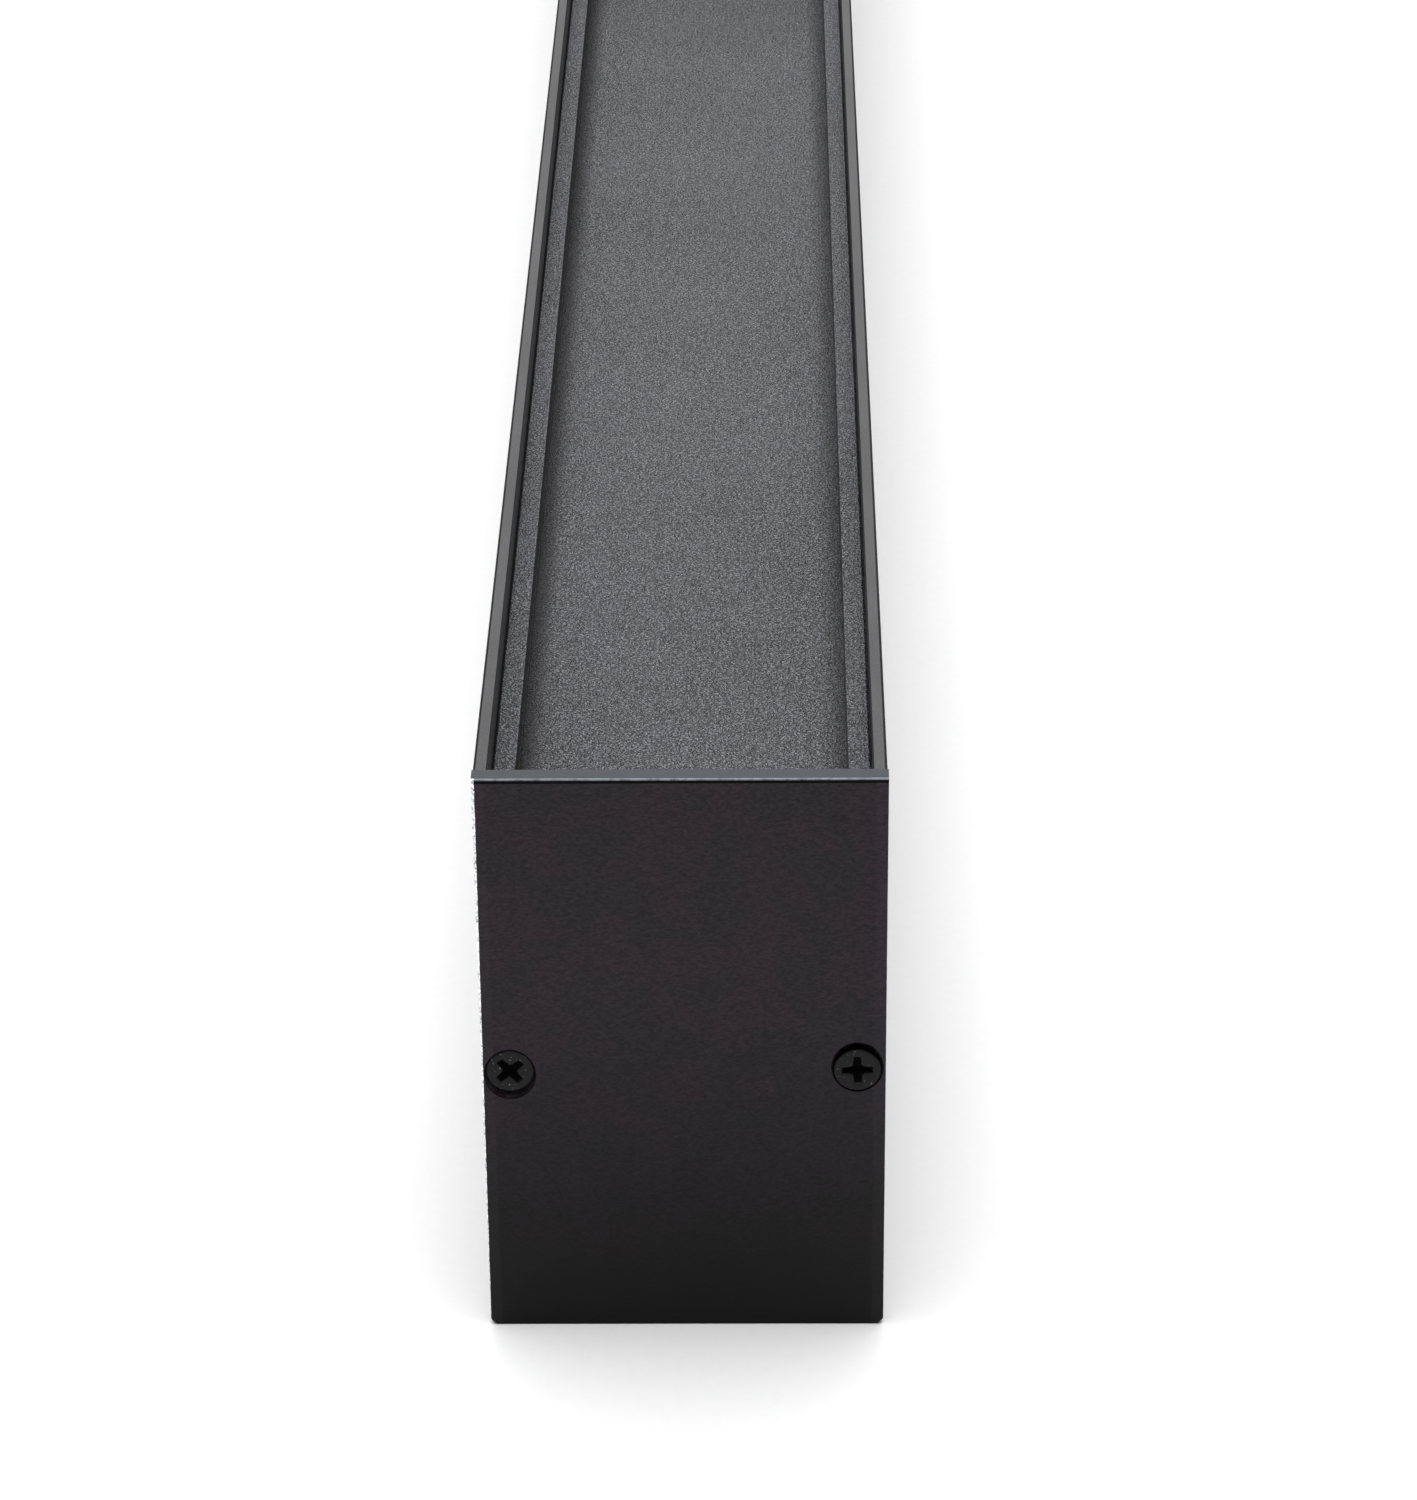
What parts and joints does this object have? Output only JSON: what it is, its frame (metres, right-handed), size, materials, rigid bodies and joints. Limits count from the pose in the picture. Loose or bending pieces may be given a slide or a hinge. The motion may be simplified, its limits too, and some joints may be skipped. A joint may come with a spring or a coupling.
{
  "type": "vanity light bar",
  "caption": "Straight black light bar of H section with an opal diffuser along one side, a mounting channel along the other, flat end caps and sliding spring clips.",
  "frame": {"origin": "centre of the bar's box at the plane of its light side", "axes": "+X along the bar towards the right end cap, +Z out of the mounting channel towards the wall, +Y across the bar"},
  "size_m": [0.9, 0.0502, 0.08],
  "materials": {
    "housing_black": "satin black coated extrusion",
    "tray_black": "black sand-texture powder coat",
    "cap_black": "black coat with a fine orange peel",
    "screw_black": "black oxide",
    "diffuser_opal": "opal, satin",
    "reflector_white": "white coated sheet",
    "board_white": "white solder mask on an aluminium board",
    "led_chip": "phosphor under clear resin",
    "connector_white": "moulded nylon",
    "screw_steel": "zinc plated",
    "driver_plastic": "moulded, fine grain",
    "circuit_green": "solder mask",
    "ferrite": "matt ferrite",
    "winding_tape": "polyester tape",
    "capacitor_sleeve": "shrunk sleeve",
    "bare_aluminium": "mill finish",
    "terminal_plastic": "moulded nylon",
    "brass": "bright brass",
    "tinned_brass": "tin plated",
    "wire_live": "extruded sleeve",
    "wire_neutral": "extruded sleeve",
    "wire_earth": "extruded sleeve with a second colour",
    "wire_red": "extruded sleeve",
    "wire_black": "extruded sleeve",
    "rubber_black": "moulded rubber",
    "spring_steel": "rolled stainless strip"
  },
  "bodies": {
    "bar": {"housing": "housing_black", "back_tray": "tray_black", "end_cap_left": "cap_black", "end_cap_right": "cap_black", "end_cap_screws": "screw_black", "diffuser": "diffuser_opal", "reflector": "reflector_white", "board_screws": "screw_steel", "board_connectors": "connector_white", "driver_case": "driver_plastic", "driver_cover": "driver_plastic", "driver_board": "circuit_green", "transformer_core": "ferrite", "transformer_winding": "winding_tape", "driver_capacitors": "capacitor_sleeve", "driver_heatsink": "bare_aluminium", "driver_screws": "screw_steel", "terminal_block": "terminal_plastic", "terminal_inserts": "brass", "terminal_screws": "screw_steel", "terminal_block_screws": "screw_steel", "earth_tag": "tinned_brass", "earth_screw": "brass", "earth_wire": "wire_earth", "live_wire": "wire_live", "neutral_wire": "wire_neutral", "led_wire_positive": "wire_red", "led_wire_negative": "wire_black", "lead_grommet": "rubber_black", "cable_grommet": "rubber_black", "led_board_1": "board_white", "led_chips_1": "led_chip", "led_board_2": "board_white", "led_chips_2": "led_chip", "led_board_3": "board_white", "led_chips_3": "led_chip", "led_board_4": "board_white", "led_chips_4": "led_chip"},
    "left_clip": {"mount_clip_left": "spring_steel"},
    "right_clip": {"mount_clip_right": "spring_steel"}
  },
  "joints": [
    {"name": "left_clip_slide", "type": "slide", "parent": "bar", "child": "left_clip", "axis": [1, 0, 0], "range_m": [-0.31, 0.095]},
    {"name": "right_clip_slide", "type": "slide", "parent": "bar", "child": "right_clip", "axis": [1, 0, 0], "range_m": [-0.095, 0.31]}
  ]
}
